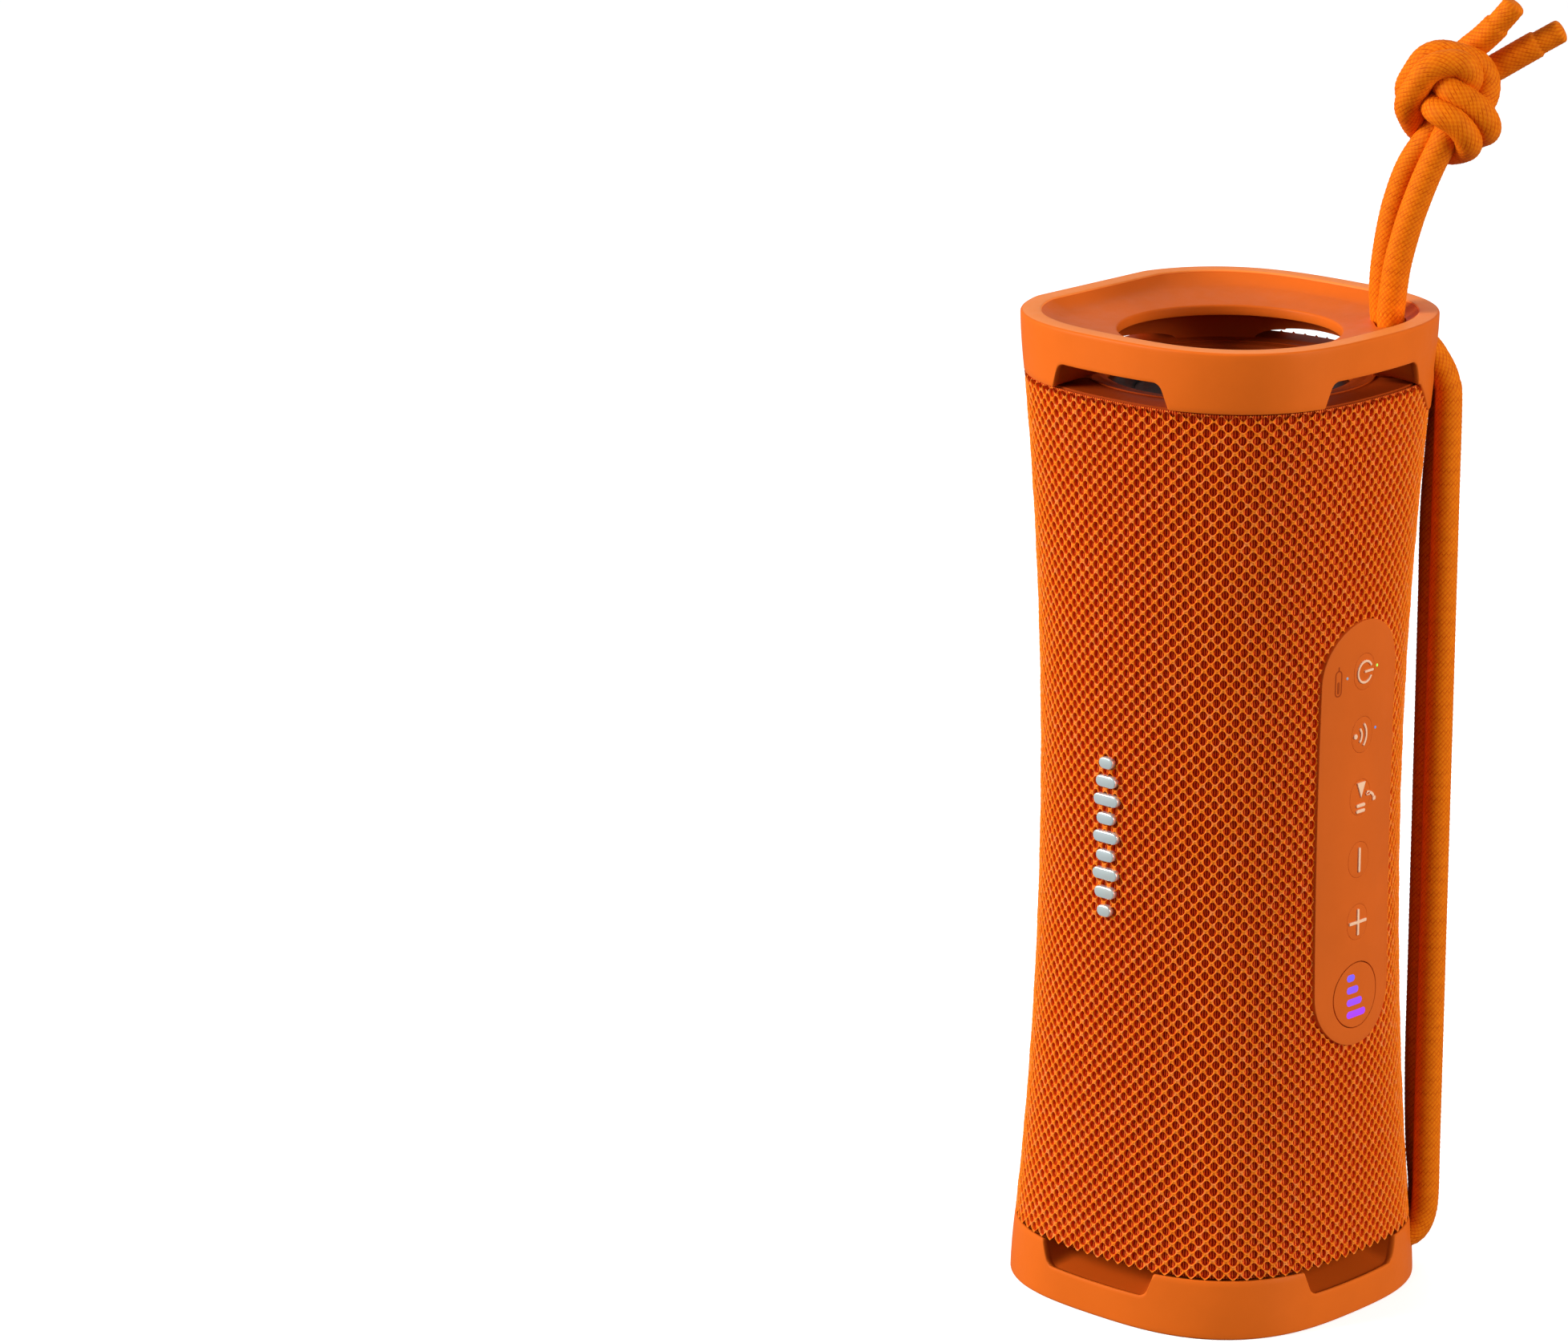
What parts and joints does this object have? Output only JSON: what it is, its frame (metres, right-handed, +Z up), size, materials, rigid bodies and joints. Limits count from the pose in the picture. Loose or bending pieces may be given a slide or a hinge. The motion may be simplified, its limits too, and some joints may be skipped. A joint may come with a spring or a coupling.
{
  "type": "portable bluetooth speaker",
  "caption": "Upright portable speaker: waisted cabinet in a knitted sleeve, open rubber end caps over passive radiators, side key panel, sealed charging port and a knotted cord strap.",
  "frame": {"origin": "middle of the base, on the plane of the bottom end cap's rim", "axes": "+Z up along the cabinet, -Y towards the front with the badge, +X towards the control panel"},
  "size_m": [0.0812, 0.0887, 0.2681],
  "materials": {
    "cap_rubber": "matte soft-touch orange",
    "sleeve_knit": "open spacer knit, orange",
    "cabinet_plastic": "fine moulded texture, black",
    "end_plastic": "fine moulded texture, orange",
    "gasket_foam": "matte",
    "radiator_plate": "matte black",
    "radiator_rubber": "smooth satin",
    "steel": "turned, zinc plated",
    "cone_paper": "pressed pulp, black",
    "copper_coil": "enamelled wire",
    "spider_cloth": "resin-dipped cloth",
    "magnet_metal": "satin",
    "dome_metal": "satin",
    "panel_rubber": "matte soft-touch orange",
    "key_rubber": "matte soft-touch orange, lighter raised tops",
    "indicator_lens": "clear, lit",
    "circuit_board": "solder mask green",
    "switch_metal": "stamped",
    "badge_metal": "iridescent plated",
    "port_rubber": "matte orange",
    "cell_wrap": "shrink wrap, blue",
    "chip_resin": "moulded epoxy",
    "lead_insulation": "smooth",
    "strap_braid": "diamond braid, orange"
  },
  "bodies": {
    "root": {"top_end_cap": "cap_rubber", "bottom_end_cap": "cap_rubber", "grille_sleeve": "sleeve_knit", "front_shell": "cabinet_plastic", "rear_shell": "cabinet_plastic", "driver_baffle": "cabinet_plastic", "top_end_plate": "end_plastic", "bottom_end_plate": "end_plastic", "top_gasket": "gasket_foam", "bottom_gasket": "gasket_foam", "top_radiator_surround": "radiator_rubber", "bottom_radiator_surround": "radiator_rubber", "woofer_frame": "magnet_metal", "woofer_surround": "radiator_rubber", "woofer_spider": "spider_cloth", "woofer_magnet": "magnet_metal", "tweeter_housing": "cabinet_plastic", "tweeter_magnet": "magnet_metal", "control_panel": "panel_rubber", "indicator_lenses": "indicator_lens", "key_board": "circuit_board", "key_switches": "switch_metal", "badge": "badge_metal", "port_bezel": "port_rubber", "usb_socket": "steel", "port_board": "circuit_board", "battery_cells": "cell_wrap", "battery_tray": "cabinet_plastic", "main_board": "circuit_board", "board_chips": "chip_resin", "speaker_leads": "lead_insulation", "end_plate_screws": "steel", "woofer_screws": "steel", "tweeter_screws": "steel", "key_board_screws": "steel", "board_screws": "steel", "shell_screws": "steel", "anchor_pin": "steel", "strap_loop": "strap_braid", "strap_near_strand": "strap_braid", "strap_far_strand": "strap_braid", "strap_knot": "strap_braid", "strap_near_tail": "strap_braid", "strap_far_tail": "strap_braid"},
    "power_key": {"power_key": "key_rubber"},
    "pairing_key": {"pairing_key": "key_rubber"},
    "play_key": {"play_key": "key_rubber"},
    "volume_down_key": {"volume_down_key": "key_rubber"},
    "volume_up_key": {"volume_up_key": "key_rubber"},
    "boost_key": {"boost_key": "key_rubber"},
    "port_cover": {"port_cover": "port_rubber"},
    "top_radiator": {"top_radiator_plate": "radiator_plate", "top_radiator_weight": "steel"},
    "bottom_radiator": {"bottom_radiator_plate": "radiator_plate", "bottom_radiator_weight": "steel"},
    "woofer_cone": {"woofer_cone": "cone_paper", "voice_coil": "copper_coil"},
    "tweeter_dome": {"tweeter_dome": "dome_metal"}
  },
  "joints": [
    {"name": "power_key_press", "type": "slide", "parent": "root", "child": "power_key", "axis": [-1, 0, 0], "range_m": [0, 0.0006], "stiffness_N_per_m": 800, "springref_m": -0.0006},
    {"name": "pairing_key_press", "type": "slide", "parent": "root", "child": "pairing_key", "axis": [-1, 0, 0], "range_m": [0, 0.0006], "stiffness_N_per_m": 800, "springref_m": -0.0006},
    {"name": "play_key_press", "type": "slide", "parent": "root", "child": "play_key", "axis": [-1, 0, 0], "range_m": [0, 0.0006], "stiffness_N_per_m": 800, "springref_m": -0.0006},
    {"name": "volume_down_key_press", "type": "slide", "parent": "root", "child": "volume_down_key", "axis": [-1, 0, 0], "range_m": [0, 0.0006], "stiffness_N_per_m": 800, "springref_m": -0.0006},
    {"name": "volume_up_key_press", "type": "slide", "parent": "root", "child": "volume_up_key", "axis": [-1, 0, 0], "range_m": [0, 0.0006], "stiffness_N_per_m": 800, "springref_m": -0.0006},
    {"name": "boost_key_press", "type": "slide", "parent": "root", "child": "boost_key", "axis": [-1, 0, 0], "range_m": [0, 0.0006], "stiffness_N_per_m": 800, "springref_m": -0.0006},
    {"name": "port_cover_hinge", "type": "hinge", "parent": "root", "child": "port_cover", "pos_m": [0, 0.0363, 0.0302], "axis": [-1, 0, 0], "range_deg": [0, 100]},
    {"name": "top_radiator_travel", "type": "slide", "parent": "root", "child": "top_radiator", "axis": [0, 0, 1], "range_m": [-0.002, 0.002], "stiffness_N_per_m": 1500, "deforming": ["top_radiator_surround"]},
    {"name": "bottom_radiator_travel", "type": "slide", "parent": "root", "child": "bottom_radiator", "axis": [0, 0, -1], "range_m": [-0.002, 0.002], "stiffness_N_per_m": 1500, "deforming": ["bottom_radiator_surround"]},
    {"name": "woofer_travel", "type": "slide", "parent": "root", "child": "woofer_cone", "axis": [0, -1, 0], "range_m": [-0.002, 0.002], "stiffness_N_per_m": 1200},
    {"name": "tweeter_travel", "type": "slide", "parent": "root", "child": "tweeter_dome", "axis": [0, -1, 0], "range_m": [-0.0003, 0.0003], "stiffness_N_per_m": 1200}
  ]
}
